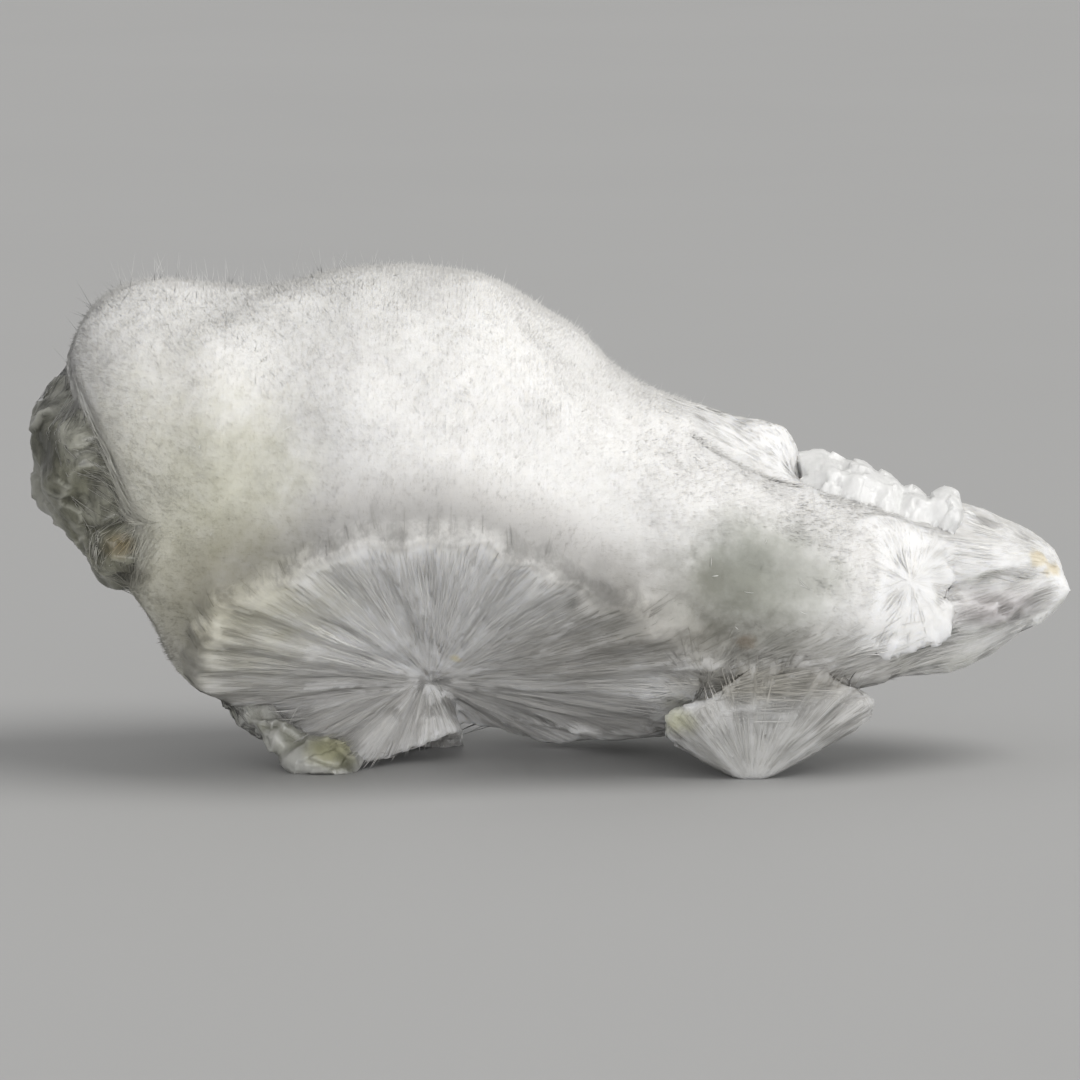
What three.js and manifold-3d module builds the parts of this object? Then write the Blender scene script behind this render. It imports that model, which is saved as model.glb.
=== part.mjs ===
// Okenite puffball: a hand-sized lump of white needle crystals that grew together as round
// balls, broken through at the front so that the needles show as fans, with scraps of the
// glassy rind that it grew on. Millimetres, +Z up, +X towards the tapered tail. The origin is
// the middle of the footprint, on the surface that the lump rests on.

import * as THREE from "three";
import { mergeVertices } from "three/addons/utils/BufferGeometryUtils.js";
import Module from "manifold-3d";

const wasm = await Module();
wasm.setup();

// ---- driving dimensions -------------------------------------------------------------------

const LENGTH = 42.4; // tip of the tail to the left rind
const DEPTH = 18.4;
const HEIGHT = 20.4;
const SEAT_GAP = 0.3; // between the okenite and each scrap of rind on it
const BODY_CELL = 1.08; // size of a facet on the okenite
const FLOOR_SLAB = 12;
const EVENING_ROUNDS = 2;

// Where each ball of needles started to grow. The needles radiate from these points.
const HEART = new THREE.Vector3(-4.8, 0.5, 3.2);
const SIDE_HEART = new THREE.Vector3(6.0, -4.3, 3.6);
const FOOT_TIP = new THREE.Vector3(8.1, -4.4, -0.3);
const TAIL_TIP = new THREE.Vector3(20.9, 1.2, 7.5);
const ROSETTE_TIP = new THREE.Vector3(14.4, -5.0, 8.1);

// The round growths that make up the okenite: middle, radii, and how softly each one blends
// into those before it. lean turns a growth about Y, so that its +X end rises.
const GROWTHS = [
  { name: "puff", at: [-5.4, 0.3, 10.3], radii: [9.8, 9.1, 9.9], blend: 0 },
  { name: "crown", at: [-13.2, 0.5, 13.6], radii: [5.3, 7.0, 5.5], blend: 3.0 },
  { name: "brow", at: [-15.4, 0.4, 15.7], radii: [4.2, 5.4, 3.8], blend: 1.2 },
  { name: "cheek", at: [-11.1, -1.6, 8.0], radii: [5.5, 5.4, 5.8], blend: 2.0 },
  { name: "slope", at: [3.2, 0.4, 8.2], radii: [8.0, 7.4, 6.7], blend: 3.0 },
  { name: "crook", at: [10.4, -2.2, 7.4], radii: [4.8, 4.4, 3.5], blend: 1.6 },
  { name: "tail", at: [12.3, 1.0, 6.9], radii: [8.6, 5.0, 3.7], blend: 2.0, lean: 3 },
  { name: "knuckle", at: [8.0, 1.0, 12.3], radii: [2.0, 1.8, 1.6], blend: 0.8 },
  { name: "keel", at: [2.8, 3.4, 4.1], radii: [7.2, 4.6, 3.9], blend: 2.0 },
];
// A glassy patch between the slope and the crook is sunk a little into them.
const HOLLOW = { at: [8.4, -7.6, 9.4], radii: [3.2, 2.2, 2.0] };

// The rim of the skirt: how many degrees it opens from its axis and how far it reaches, at some
// turns round that axis. 0 is the right, 90 the back, 180 the left and 270 the front.
const SKIRT_RIM = [
  { turn: 15, open: 50, reach: 3.5 },
  { turn: 57, open: 52, reach: 6.0 },
  { turn: 90, open: 40, reach: 5.5 },
  { turn: 130, open: 32, reach: 4.6 },
  { turn: 160, open: 42, reach: 5.8 },
  { turn: 189, open: 55, reach: 7.3 },
  { turn: 210, open: 49, reach: 6.4 },
  { turn: 235, open: 43, reach: 5.9 },
  { turn: 255, open: 39, reach: 5.2 },
  { turn: 282, open: 28, reach: 3.9 },
  { turn: 325, open: 42, reach: 3.1 },
  { turn: 345, open: 52, reach: 3.0 },
];

// Where single needles stand clear: the ball that they radiate from, their directions in
// degrees above +X, how far they lean back, and how long they are.
const STRAYS = [
  { from: [-13.0, 0.5, 9.0], turns: [142, 132, 121, 112, 104, 97, 90, 83, 76], rise: 0.1, length: 1.3 },
  { from: [-5.0, 0.5, 6.0], turns: [104, 92, 84, 77, 63, 56, 49], rise: 0.05, length: 0.8 },
  { from: [2.0, 0.5, 6.0], turns: [74, 64, 52], rise: 0.1, length: 0.7 },
  { from: [-12.0, -1.0, 11.0], turns: [155], rise: 0, length: 0.9 },
];

// ---- noise and distance --------------------------------------------------------------------

function lattice(i, j, k) {
  let h = Math.imul(i, 374761393) ^ Math.imul(j, 668265263) ^ Math.imul(k, 1440662683);
  h = Math.imul(h ^ (h >>> 13), 1274126177);
  return (((h ^ (h >>> 16)) >>> 0) / 0xffffffff) * 2 - 1;
}

// Smooth lumps between -1 and 1, about one wavelength across.
function lumps(p, wavelength) {
  const q = [p.x / wavelength, p.y / wavelength, p.z / wavelength];
  const base = q.map(Math.floor);
  const t = q.map((v, n) => THREE.MathUtils.smoothstep(v - base[n], 0, 1));
  let sum = 0;
  for (let corner = 0; corner < 8; corner++) {
    const step = [corner & 1, (corner >> 1) & 1, corner >> 2];
    const weight = step.reduce((w, s, n) => w * (s ? t[n] : 1 - t[n]), 1);
    sum += weight * lattice(base[0] + step[0], base[1] + step[1], base[2] + step[2]);
  }
  return sum;
}

// Distance to an ellipsoid, true near its surface and negative inside.
function growthDistance(p, growth) {
  const lean = THREE.MathUtils.degToRad(growth.lean ?? 0);
  const dx = p.x - growth.at[0];
  const dz = p.z - growth.at[2];
  const q = [
    dx * Math.cos(lean) + dz * Math.sin(lean),
    p.y - growth.at[1],
    dz * Math.cos(lean) - dx * Math.sin(lean),
  ];
  const near = Math.hypot(...q.map((v, n) => v / growth.radii[n]));
  const slope = Math.hypot(...q.map((v, n) => v / growth.radii[n] ** 2));
  return slope < 1e-6 ? -Math.min(...growth.radii) : (near * (near - 1)) / slope;
}

function blendDistance(growths, p) {
  let d = Infinity;
  for (const growth of growths) {
    const e = growthDistance(p, growth);
    const overlap = Math.max(growth.blend - Math.abs(d - e), 0);
    d = Math.min(d, e) - (overlap && overlap ** 2 / (4 * growth.blend));
  }
  return d;
}

// ---- meshing --------------------------------------------------------------------------------

// The closed surface where distance is 0, as one vertex in each grid cell that it passes
// through, joined across the grid's edges.
function surfaceOf(distance, low, high, cell) {
  const count = ["x", "y", "z"].map((axis) => Math.ceil((high[axis] - low[axis]) / cell) + 1);
  const index = (i, j, k) => (k * count[1] + j) * count[0] + i;
  const place = (i, j, k) => new THREE.Vector3(low.x + i * cell, low.y + j * cell, low.z + k * cell);
  const value = new Float64Array(count[0] * count[1] * count[2]);
  for (let k = 0; k < count[2]; k++)
    for (let j = 0; j < count[1]; j++)
      for (let i = 0; i < count[0]; i++) value[index(i, j, k)] = distance(place(i, j, k));

  const positions = [];
  const vertexAt = new Map();
  for (let k = 0; k < count[2] - 1; k++)
    for (let j = 0; j < count[1] - 1; j++)
      for (let i = 0; i < count[0] - 1; i++) {
        const middle = new THREE.Vector3();
        let crossings = 0;
        for (let a = 0; a < 8; a++)
          for (const bit of [1, 2, 4]) {
            if (a & bit) continue;
            const [p, q] = [a, a | bit].map((c) => [i + (c & 1), j + ((c >> 1) & 1), k + (c >> 2)]);
            const [u, v] = [value[index(...p)], value[index(...q)]];
            if (u < 0 === v < 0) continue;
            middle.add(place(...p).lerp(place(...q), u / (u - v)));
            crossings++;
          }
        if (!crossings) continue;
        vertexAt.set(index(i, j, k), positions.length / 3);
        positions.push(...middle.divideScalar(crossings).toArray());
      }

  const faces = [];
  const steps = [[1, 0, 0], [0, 1, 0], [0, 0, 1]];
  for (let k = 1; k < count[2] - 1; k++)
    for (let j = 1; j < count[1] - 1; j++)
      for (let i = 1; i < count[0] - 1; i++)
        for (let axis = 0; axis < 3; axis++) {
          const here = value[index(i, j, k)] < 0;
          const there = value[index(i + steps[axis][0], j + steps[axis][1], k + steps[axis][2])] < 0;
          if (here === there) continue;
          const u = steps[(axis + 1) % 3];
          const v = steps[(axis + 2) % 3];
          const ring = [[0, 0], [1, 0], [1, 1], [0, 1]].map(([m, n]) =>
            vertexAt.get(index(i - m * u[0] - n * v[0], j - m * u[1] - n * v[1], k - m * u[2] - n * v[2])),
          );
          if (!here) ring.reverse();
          faces.push(ring[0], ring[1], ring[2], ring[0], ring[2], ring[3]);
        }
  return meshOf(evened(positions, faces, distance), faces);
}

// Draws each vertex towards the middle of its neighbours, then back onto the surface.
function evened(positions, faces, distance) {
  const rings = Array.from({ length: positions.length / 3 }, () => new Set());
  faces.forEach((v, n) => rings[v].add(faces[n - (n % 3) + ((n + 1) % 3)]));
  let points = rings.map((_, n) => new THREE.Vector3().fromArray(positions, 3 * n));
  for (let round = 0; round < EVENING_ROUNDS; round++) {
    points = points.map((_, n) => {
      const middle = new THREE.Vector3();
      for (const v of rings[n]) middle.addScaledVector(points[v], 1 / rings[n].size);
      return ontoSurface(middle, distance);
    });
  }
  return points.flatMap((point) => point.toArray());
}

function ontoSurface(point, distance) {
  const here = distance(point);
  const step = 0.01;
  const slope = new THREE.Vector3(
    distance(point.clone().setX(point.x + step)) - here,
    distance(point.clone().setY(point.y + step)) - here,
    distance(point.clone().setZ(point.z + step)) - here,
  ).divideScalar(step);
  return point.addScaledVector(slope, -here / Math.max(slope.lengthSq(), 0.25));
}

function meshOf(positions, faces) {
  return new THREE.BufferGeometry()
    .setAttribute("position", new THREE.Float32BufferAttribute(positions, 3))
    .setIndex(faces);
}

function solidOf(geometry) {
  const bare = geometry.clone();
  bare.deleteAttribute("normal");
  bare.deleteAttribute("uv");
  const merged = mergeVertices(bare, 1e-4);
  return new wasm.Manifold(
    new wasm.Mesh({
      numProp: 3,
      vertProperties: merged.attributes.position.array,
      triVerts: new Uint32Array(merged.index.array),
    }),
  );
}

function geometryOf(solid) {
  const mesh = solid.getMesh();
  return new THREE.BufferGeometry()
    .setAttribute("position", new THREE.BufferAttribute(mesh.vertProperties, 3))
    .setIndex(new THREE.BufferAttribute(mesh.triVerts, 1));
}

// ---- fans of needles --------------------------------------------------------------------------

// Axes for a fan: along is its middle direction, side lies near +X, and over crosses both.
function fanAxes(along) {
  const a = along.clone().normalize();
  const over = new THREE.Vector3(1, 0, 0).cross(a).normalize();
  const side = a.clone().cross(over).normalize();
  return { a, side, over };
}

// A closed cone of spokes from tip, corrugated by the bundles of needles along its side.
// openness(turn) is the angle between the side and the middle direction, reach(turn) how far
// the side runs, and dome how far the far end swells past its rim. rings are shares of reach.
function fanSolid({ tip, along, openness, reach, spokes, bundle, rings, dome, seed }) {
  const { a, side, over } = fanAxes(along);
  const positions = [...tip.toArray()];
  const faces = [];
  for (const share of rings)
    for (let n = 0; n < spokes; n++) {
      const turn = (n / spokes) * 2 * Math.PI;
      const radial = side.clone().multiplyScalar(Math.cos(turn)).addScaledVector(over, Math.sin(turn));
      const angle = openness(turn);
      const far = reach(turn) * share;
      const chance = lattice(n, Math.round(share * 9), seed);
      const ridge = bundle * ((n % 2 ? 1 : -1) * Math.sqrt(share) + chance);
      const spoke = radial.multiplyScalar(Math.sin(angle)).addScaledVector(a, Math.cos(angle));
      const out = spoke.clone().cross(a).cross(spoke).normalize();
      positions.push(...tip.clone().addScaledVector(spoke, far).addScaledVector(out, ridge).toArray());
    }
  const ring = (level, n) => 1 + level * spokes + (n % spokes);
  for (let n = 0; n < spokes; n++) {
    faces.push(0, ring(0, n), ring(0, n + 1));
    for (let level = 1; level < rings.length; level++) {
      faces.push(ring(level - 1, n), ring(level, n), ring(level - 1, n + 1));
      faces.push(ring(level - 1, n + 1), ring(level, n), ring(level, n + 1));
    }
  }
  const end = positions.length / 3;
  positions.push(...tip.clone().addScaledVector(a, dome).toArray());
  for (let n = 0; n < spokes; n++) faces.push(end, ring(rings.length - 1, n + 1), ring(rings.length - 1, n));
  return solidOf(meshOf(positions, faces));
}

// What broke away in front of the heart: a wide, nearly flat funnel that opens forward and down.
function brokenAway(shift) {
  const along = new THREE.Vector3(0, -0.6, -0.8);
  return fanSolid({
    tip: HEART.clone().addScaledVector(along, shift),
    along,
    openness: (turn) => THREE.MathUtils.degToRad(84 - 7 * Math.cos(2 * turn) + 1 * Math.sin(turn)),
    reach: (turn) => 17 - 3 * Math.abs(Math.sin(turn)),
    spokes: 64,
    bundle: 0.16,
    rings: [0.12, 0.26, 0.42, 0.6, 0.8, 1],
    dome: 16,
    seed: 1,
  });
}

// A smaller break to the right of it, which opens the underside of the crook.
function sideBreak(shift) {
  const along = new THREE.Vector3(0.25, -0.55, -0.8).normalize();
  return fanSolid({
    tip: SIDE_HEART.clone().addScaledVector(along, shift),
    along,
    openness: (turn) => THREE.MathUtils.degToRad(84 - 4 * Math.cos(2 * turn)),
    reach: () => 9,
    spokes: 44,
    bundle: 0.12,
    rings: [0.2, 0.45, 0.7, 1],
    dome: 9,
    seed: 4,
  });
}

// What the skirt's rim is at a turn, drawn smoothly between the places in SKIRT_RIM.
function rimAt(turn, key) {
  const { euclideanModulo, radToDeg, smoothstep } = THREE.MathUtils;
  const degrees = euclideanModulo(radToDeg(turn), 360);
  const next = SKIRT_RIM.findIndex((place) => place.turn > degrees);
  const [from, to] = next > 0 ? [SKIRT_RIM[next - 1], SKIRT_RIM[next]] : [SKIRT_RIM.at(-1), SKIRT_RIM[0]];
  const share = euclideanModulo(degrees - from.turn, 360) / euclideanModulo(to.turn - from.turn, 360);
  return from[key] + (to[key] - from[key]) * smoothstep(share, 0, 1);
}

// The skirt of needles that hangs from the heart down to the surface and out to the left.
function skirt(aside) {
  return fanSolid({
    tip: new THREE.Vector3(-4.9, 0.9, 3.8).add(aside),
    along: new THREE.Vector3(-0.42, 0.07, -0.9),
    openness: (turn) => THREE.MathUtils.degToRad(rimAt(turn, "open")),
    reach: (turn) => rimAt(turn, "reach"),
    spokes: 38,
    bundle: 0.1,
    rings: [0.4, 0.75, 1],
    dome: 3.6,
    seed: 5,
  });
}

// The small fan that the lump stands on at the right, opening upwards from its foot.
function footFan() {
  return fanSolid({
    tip: FOOT_TIP,
    along: new THREE.Vector3(0.1, 0.5, 0.86),
    openness: (turn) => THREE.MathUtils.degToRad(46 + 12 * Math.cos(2 * turn) - 6 * Math.cos(turn)),
    reach: (turn) => 5.0 + 0.8 * Math.cos(turn) + 0.3 * Math.sin(5 * turn),
    spokes: 44,
    bundle: 0.1,
    rings: [0.25, 0.55, 0.8, 1],
    dome: 4.6,
    seed: 2,
  });
}

// The rosette of needles on the end of the crook. Its tip stands out, and it hangs lowest below.
function rosette() {
  return fanSolid({
    tip: ROSETTE_TIP,
    along: new THREE.Vector3(-0.32, 0.9, -0.27),
    openness: (turn) => THREE.MathUtils.degToRad(66 - 4 * Math.sin(turn)),
    reach: (turn) => 2.7 - 0.5 * Math.sin(turn) + 0.2 * Math.sin(6 * turn),
    spokes: 36,
    bundle: 0.09,
    rings: [0.35, 0.7, 1],
    dome: 2.2,
    seed: 3,
  });
}

// A long narrow wedge between two points, for a crease or a standing needle.
function spindle(from, to, radius, flat = 1) {
  const length = from.distanceTo(to);
  const geometry = new THREE.OctahedronGeometry(1);
  geometry.scale(radius, length / 2, radius * flat);
  const turned = new THREE.Quaternion().setFromUnitVectors(
    new THREE.Vector3(0, 1, 0),
    to.clone().sub(from).normalize(),
  );
  geometry.applyQuaternion(turned);
  geometry.translate(...from.clone().lerp(to, 0.5).toArray());
  return solidOf(geometry);
}

const floorSlab = solidOf(
  new THREE.BoxGeometry(2 * LENGTH, 2 * LENGTH, FLOOR_SLAB).translate(0, 0, -FLOOR_SLAB / 2),
);

// ---- okenite ------------------------------------------------------------------------------------

const LOW = new THREE.Vector3(-LENGTH / 2 - 2, -DEPTH / 2 - 2, -3);
const HIGH = new THREE.Vector3(LENGTH / 2 + 2, DEPTH / 2 + 2, HEIGHT + 2);

// Ledges that run back from the tip of the tail.
function tailRidges(p) {
  const turn = Math.atan2(p.z - TAIL_TIP.z, p.y - TAIL_TIP.y);
  return THREE.MathUtils.smoothstep(p.x, 11, 16) * Math.cos(9 * turn + 0.5);
}

function wholeDistance(p) {
  const round = blendDistance(GROWTHS, p);
  const sunk = Math.max(round, -growthDistance(p, HOLLOW));
  return sunk - 0.38 * lumps(p, 2.7) - 0.14 * lumps(p, 1.5) - 0.16 * tailRidges(p);
}

// The whole growth before it broke, swollen by grow.
function grownWhole(grow) {
  return solidOf(surfaceOf((p) => wholeDistance(p) - grow, LOW, HIGH, BODY_CELL));
}

// Needles that stand clear of the rest, each along a ray from a ball's middle.
function strayNeedles() {
  const needles = [];
  for (const { from, turns, rise, length } of STRAYS)
    for (const [n, turn] of turns.entries()) {
      const [x, y] = [lattice(n, 3, 1), lattice(n, 5, 2)];
      const angle = THREE.MathUtils.degToRad(turn);
      const ray = new THREE.Vector3(Math.cos(angle), 0.25 * x + rise, Math.sin(angle)).normalize();
      const base = new THREE.Vector3(...from);
      for (let step = 0; step < 60 && wholeDistance(base) < -0.05; step++)
        base.addScaledVector(ray, -wholeDistance(base) * 0.8);
      const tip = base.clone().addScaledVector(ray, length * (1 + 0.35 * y));
      needles.push(spindle(base.addScaledVector(ray, -1.2), tip, 0.12));
    }
  return needles;
}

function creases() {
  return [
    spindle(new THREE.Vector3(4.6, -3.9, 14.1), new THREE.Vector3(12.2, -1.0, 10.9), 0.8, 0.7),
    spindle(new THREE.Vector3(14.6, -3.8, 7.1), new THREE.Vector3(20.8, -0.9, 7.9), 0.8),
    spindle(new THREE.Vector3(14.4, -3.4, 5.2), new THREE.Vector3(20.6, -0.3, 6.8), 0.6),
  ];
}

function okenite() {
  let solid = grownWhole(0).subtract(brokenAway(0)).subtract(sideBreak(0));
  for (const crease of creases()) solid = solid.subtract(crease);
  const added = [skirt(new THREE.Vector3()), footFan(), rosette(), ...strayNeedles()];
  for (const piece of added) solid = solid.add(piece);
  return solid.subtract(floorSlab);
}

// ---- scraps of rind ------------------------------------------------------------------------------

const LEFT_RIND = [
  { at: [-16.8, 1.5, 12.6], radii: [4.3, 5.2, 4.6] },
  { at: [-15.7, -0.7, 9.3], radii: [2.9, 3.9, 2.6] },
];
const FOOT_RIND = [
  { at: [-12.0, -0.4, 2.05], radii: [1.8, 1.5, 0.65], lean: -32 },
  { at: [-10.5, -1.5, 1.1], radii: [1.8, 1.4, 0.65], lean: -36 },
  { at: [-9.2, -2.3, 0.45], radii: [1.6, 1.3, 0.85], lean: -8 },
];
const RIDGE_RIND = [
  { at: [11.0, 0.3, 11.2], radii: [1.4, 2.7, 1.4] },
  { at: [12.4, 0.1, 10.8], radii: [1.1, 2.8, 1.4] },
  { at: [13.5, 0.0, 10.2], radii: [1.1, 2.8, 1.5] },
  { at: [14.7, 0.0, 10.0], radii: [1.1, 2.8, 1.4] },
  { at: [15.9, 0.1, 10.0], radii: [1.1, 2.5, 1.3] },
  { at: [17.0, 0.6, 9.7], radii: [0.8, 1.7, 1.0] },
];

// One rough knob of rind.
function knob({ at, radii, lean = 0 }, detail) {
  const geometry = new THREE.IcosahedronGeometry(1, detail);
  geometry.scale(...radii).rotateY(-THREE.MathUtils.degToRad(lean)).translate(...at);
  const middle = new THREE.Vector3(...at);
  const point = new THREE.Vector3();
  for (let n = 0; n < geometry.attributes.position.count; n++) {
    point.fromBufferAttribute(geometry.attributes.position, n);
    const size = 1 + 0.1 * lumps(point, 1.5) + 0.06 * lumps(point, 0.8);
    point.sub(middle).multiplyScalar(size).add(middle);
    geometry.attributes.position.setXYZ(n, point.x, point.y, point.z);
  }
  return solidOf(geometry);
}

// The okenite with SEAT_GAP more around it, as far as the rind reaches it.
function rindSeat() {
  const swollen = grownWhole(SEAT_GAP).subtract(brokenAway(SEAT_GAP)).subtract(sideBreak(SEAT_GAP));
  const asides = [new THREE.Vector3(0, 0, -SEAT_GAP)];
  for (let n = 0; n < 8; n++) {
    const turn = (n / 4) * Math.PI;
    asides.push(new THREE.Vector3(Math.cos(turn), Math.sin(turn), 0).multiplyScalar(SEAT_GAP));
  }
  return asides.reduce((sum, aside) => sum.add(skirt(aside)), swollen);
}

// A scrap of rind: its knobs, less the okenite that it grew under.
function rindScrap(knobs, seat, detail) {
  const whole = knobs.map((one) => knob(one, detail)).reduce((sum, one) => sum.add(one));
  const pieces = whole.subtract(seat).subtract(floorSlab).decompose();
  return pieces.sort((a, b) => b.volume() - a.volume())[0];
}

// ---- assembly --------------------------------------------------------------------------------------

const okeniteWhite = new THREE.MeshStandardMaterial({ color: 0xf1f0ec, roughness: 0.85, metalness: 0 });
const rindGrey = new THREE.MeshStandardMaterial({ color: 0xc9cdc4, roughness: 0.35, metalness: 0 });

const specimen = new THREE.Group();
function place(name, solid, material) {
  const mesh = new THREE.Mesh(geometryOf(solid), material);
  mesh.name = name;
  specimen.add(mesh);
}

place("okenite", okenite(), okeniteWhite);
const seat = rindSeat();
place("left_rind", rindScrap(LEFT_RIND, seat, 4), rindGrey);
place("foot_rind", rindScrap(FOOT_RIND, seat, 2), rindGrey);
place("ridge_rind", rindScrap(RIDGE_RIND, seat, 2), rindGrey);

export default specimen;
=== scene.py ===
"""Okenite puffball: the looks of a lump of white needle crystals and of the glassy rind on it.

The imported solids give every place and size. The okenite solid is redrawn as a fine core with
needles that stand on the puff and lie along the broken faces, and the rind as rough crust.
Lengths are in millimetres, and become metres where a mesh is made.
"""

import logging
import math
from collections.abc import Callable
from dataclasses import dataclass
from enum import IntEnum
from functools import cached_property

import bpy
import numpy as np
from mathutils import Matrix, Vector
from mathutils.bvhtree import BVHTree
from mathutils.kdtree import KDTree


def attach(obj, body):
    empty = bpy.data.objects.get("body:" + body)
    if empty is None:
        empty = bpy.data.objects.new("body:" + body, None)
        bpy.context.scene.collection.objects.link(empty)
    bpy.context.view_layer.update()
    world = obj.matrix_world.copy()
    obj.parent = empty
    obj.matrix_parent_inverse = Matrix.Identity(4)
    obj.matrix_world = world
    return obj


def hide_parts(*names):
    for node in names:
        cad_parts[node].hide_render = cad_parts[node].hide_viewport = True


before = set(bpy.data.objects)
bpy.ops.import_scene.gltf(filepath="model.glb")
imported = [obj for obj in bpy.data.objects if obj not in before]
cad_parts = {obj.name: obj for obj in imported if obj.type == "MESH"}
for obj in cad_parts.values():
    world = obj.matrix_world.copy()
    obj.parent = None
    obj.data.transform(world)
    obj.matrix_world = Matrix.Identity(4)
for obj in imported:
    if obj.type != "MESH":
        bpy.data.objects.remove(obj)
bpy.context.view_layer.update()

LOG = logging.getLogger("puffball")
MM = 0.001
TO_MM = 1000.0
RNG = np.random.default_rng(7)

Array = np.ndarray
Colour = tuple[float, float, float]
Point = tuple[float, float, float]
Material = bpy.types.Material
NodeTree = bpy.types.NodeTree
Piece = bpy.types.Object
Socket = bpy.types.NodeSocket


# ---- number work ----


def unit(v: Array) -> Array:
    """Returns each row of v at length 1."""
    return v / np.maximum(np.linalg.norm(v, axis=-1, keepdims=True), 1e-9)


def away(p: Array, spot: object = 0.0, radii: object = 1.0) -> Array:
    """Returns how far each row of p is from a spot, measured in the given radii."""
    return np.linalg.norm((p - spot) / radii, axis=1)


def asked(find: Callable, p: Array, item: int) -> Array:
    """Returns one item of what a search tree finds for each row of p."""
    return np.array([find(spot)[item] for spot in p.tolist()])


def point_tree(points: Array) -> KDTree:
    """Returns a search tree of points."""
    tree = KDTree(len(points))
    for k, spot in enumerate(points.tolist()):
        tree.insert(spot, k)
    tree.balance()
    return tree


def ramp(x: Array, low: float, high: float) -> Array:
    """Returns a smooth step of x from 0 at low to 1 at high."""
    t = np.clip((x - low) / (high - low), 0.0, 1.0)
    return t * t * (3.0 - 2.0 * t)


def repeatable(i: int, j: int, k: int) -> float:
    """Returns a number between -1 and 1 that depends only on three whole numbers."""
    h = (i * 374761393 ^ j * 668265263 ^ k * 1440662683) & 0xFFFFFFFF
    h = ((h ^ h >> 13) * 1274126177) & 0xFFFFFFFF
    return (h ^ h >> 16) / 0xFFFFFFFF * 2 - 1


def lattice(cell: Array, seed: int) -> Array:
    """Returns a repeatable number between -1 and 1 for each whole-numbered cell."""
    h = cell[..., 0] * 374761393 + cell[..., 1] * 668265263 + cell[..., 2] * 1440662683 + seed * 97
    h = (h ^ (h >> 13)) * 1274126177 & 0xFFFFFFFF
    h = (h ^ (h >> 16)) * 2246822519 & 0xFFFFFFFF
    return ((h >> 8) & 0xFFFF) / 32767.5 - 1.0


def noise(p: Array, seed: int = 0) -> Array:
    """Returns smooth lumps between about -1 and 1, one unit across, at each row of p."""
    base = np.floor(p).astype(np.int64)
    t = p - base
    t = t * t * (3.0 - 2.0 * t)
    total = np.zeros(len(p))
    for corner in range(8):
        step = np.array([corner & 1, corner >> 1 & 1, corner >> 2])
        weight = np.prod(np.where(step, t, 1.0 - t), axis=1)
        total += weight * lattice(base + step, seed)
    return total


def noise3(p: Array, seed: int, kind: Callable = noise) -> Array:
    """Returns three lots of noise, or of another kind, for each row of p as a vector."""
    return np.stack([kind(p, seed + k) for k in range(3)], axis=1)


def cells(p: Array, seed: int) -> tuple[Array, Array]:
    """Cuts space into blocks, one round each of a set of scattered seeds.

    Args:
        p: Points, one a row, where a block is about one unit across.
        seed: Which set of seeds.

    Returns:
        How far inside its block each point is, and how high the block's tilted top is there.
    """
    base = np.floor(p).astype(np.int64)
    near, height = np.full((len(p), 2), 9.0), np.zeros(len(p))
    for corner in range(27):
        cell = base + np.array([corner % 3 - 1, corner // 3 % 3 - 1, corner // 9 - 1])
        seeds = cell + 0.5 + 0.45 * noise3(cell, seed, lattice)
        gap = away(seeds, p)
        tilt = noise3(cell, seed + 4, lattice)
        top = 0.6 * lattice(cell, seed + 3) + ((p - seeds) * tilt).sum(axis=1)
        height = np.where(gap < near[:, 0], top, height)
        near[:, 1] = np.minimum(near[:, 1], np.maximum(near[:, 0], gap))
        near[:, 0] = np.minimum(near[:, 0], gap)
    return near[:, 1] - near[:, 0], height


# ---- where the needles come from ----


class Zone(IntEnum):
    """A part of the okenite whose needles run the same way."""

    PUFF = 0
    MAIN_FAN = 1
    SIDE_FAN = 2
    SKIRT = 3
    FOOT_FAN = 4
    ROSETTE = 5
    CREST = 6
    TAIL = 7


@dataclass(frozen=True)
class Heart:
    """A point that needles radiate from, with the cone whose side shows them."""

    centre: Point
    axis: Point
    mean: float
    reach: float
    second: float = 0.0
    sideways: float = 0.0
    upward: float = 0.0
    slack: float = 0.5
    filled: bool = False

    def behind(self, p: Array) -> Array:
        """Returns how far each row of p is behind this heart's cone, less than 0 in front of it."""
        a = unit(np.array([self.axis], float))[0]
        over = unit(np.cross([1.0, 0.0, 0.0], a)[None])[0]
        side = np.cross(a, over)
        v = p - self.centre
        x, y, h = v @ side, v @ over, v @ a
        turn, r = np.arctan2(y, x), np.hypot(x, y)
        angle = self.mean + self.second * np.cos(2 * turn)
        angle = np.radians(angle + self.sideways * np.cos(turn) + self.upward * np.sin(turn))
        return r * np.cos(angle) - h * np.sin(angle)

    def weight(self, p: Array, wide: float = 1.0) -> Array:
        """Returns how surely each point lies on this heart's cone.

        Args:
            p: Points in millimetres, one a row.
            wide: How much wider than usual the cone's soft edge is.

        Returns:
            A number from 0 to 1 for each point.
        """
        gap = self.behind(p)
        gap = (np.maximum(gap, 0) if self.filled else np.abs(gap)) * (1 + 0.35 * noise(p / 0.7, 9))
        far = away(p, self.centre)
        ends = 1 - ramp(far, 0.9 * self.reach, (0.9 + 0.1 * wide) * self.reach)
        return ends * (1 - ramp(gap, self.slack, (0.9 + wide) * self.slack))


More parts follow.
